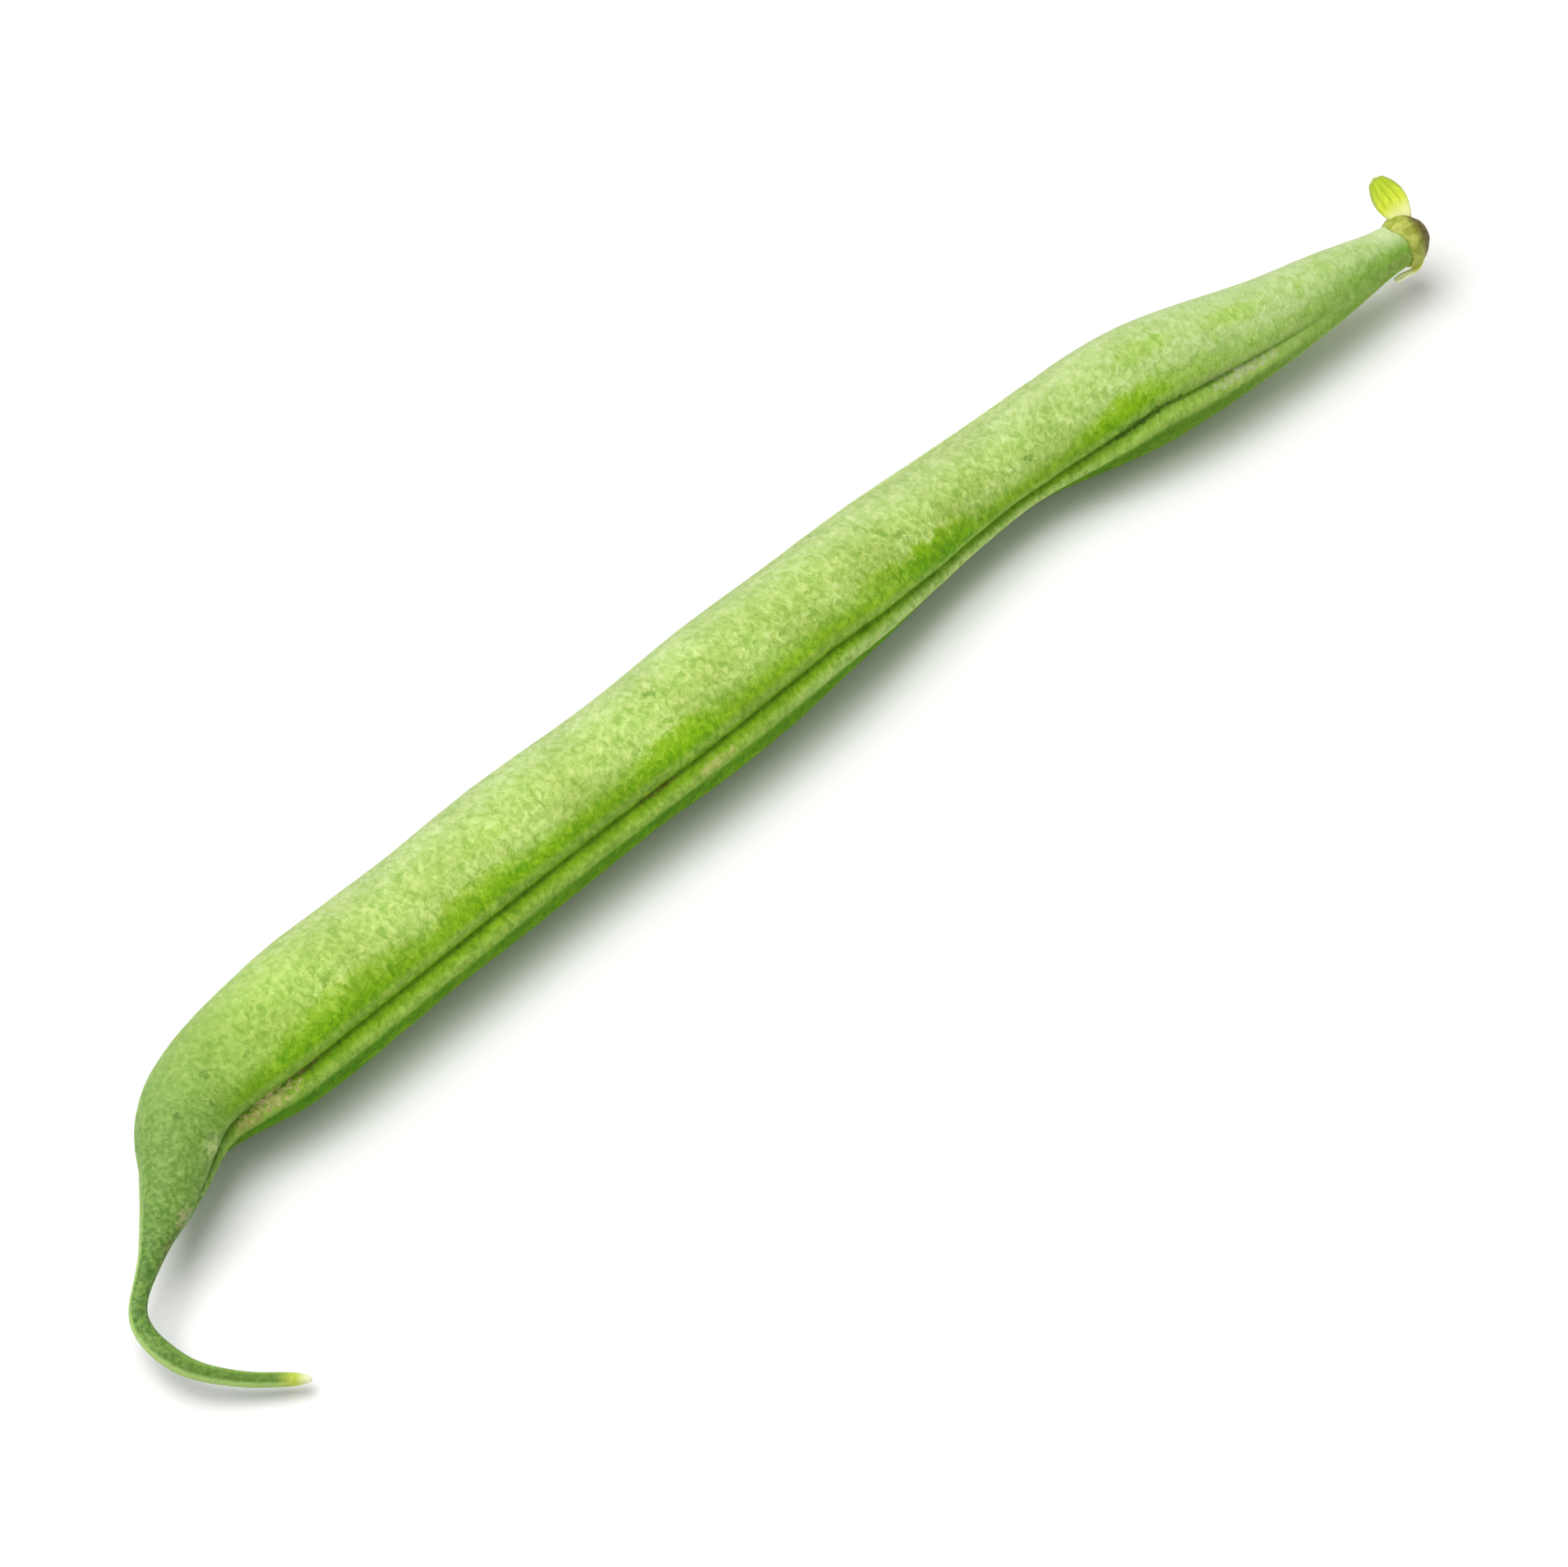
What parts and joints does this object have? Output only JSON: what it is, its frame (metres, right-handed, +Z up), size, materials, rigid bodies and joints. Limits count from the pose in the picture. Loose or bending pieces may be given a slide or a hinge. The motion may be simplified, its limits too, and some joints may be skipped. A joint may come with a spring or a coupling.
{
  "type": "green bean",
  "caption": "Whole fresh green bean with a long hooked beak, a calyx cup and tiny bracteoles, lying on its side.",
  "frame": {"origin": "under the middle of the bean's box, on the surface it lies on", "axes": "+X along the pod towards its stem end, +Z up, the beak's hook turns towards -Y"},
  "size_m": [0.108, 0.0236, 0.0085],
  "materials": {
    "pod_skin": "fine velvety mottled green skin with a soft sheen",
    "calyx_skin": "matt olive and brown, drying at its edge",
    "bracteole_leaf": "thin yellow-green leaf with darker veins"
  },
  "bodies": {
    "root": {"pod": "pod_skin", "calyx": "calyx_skin", "bracteole_upper": "bracteole_leaf", "bracteole_lower": "bracteole_leaf"}
  },
  "joints": []
}
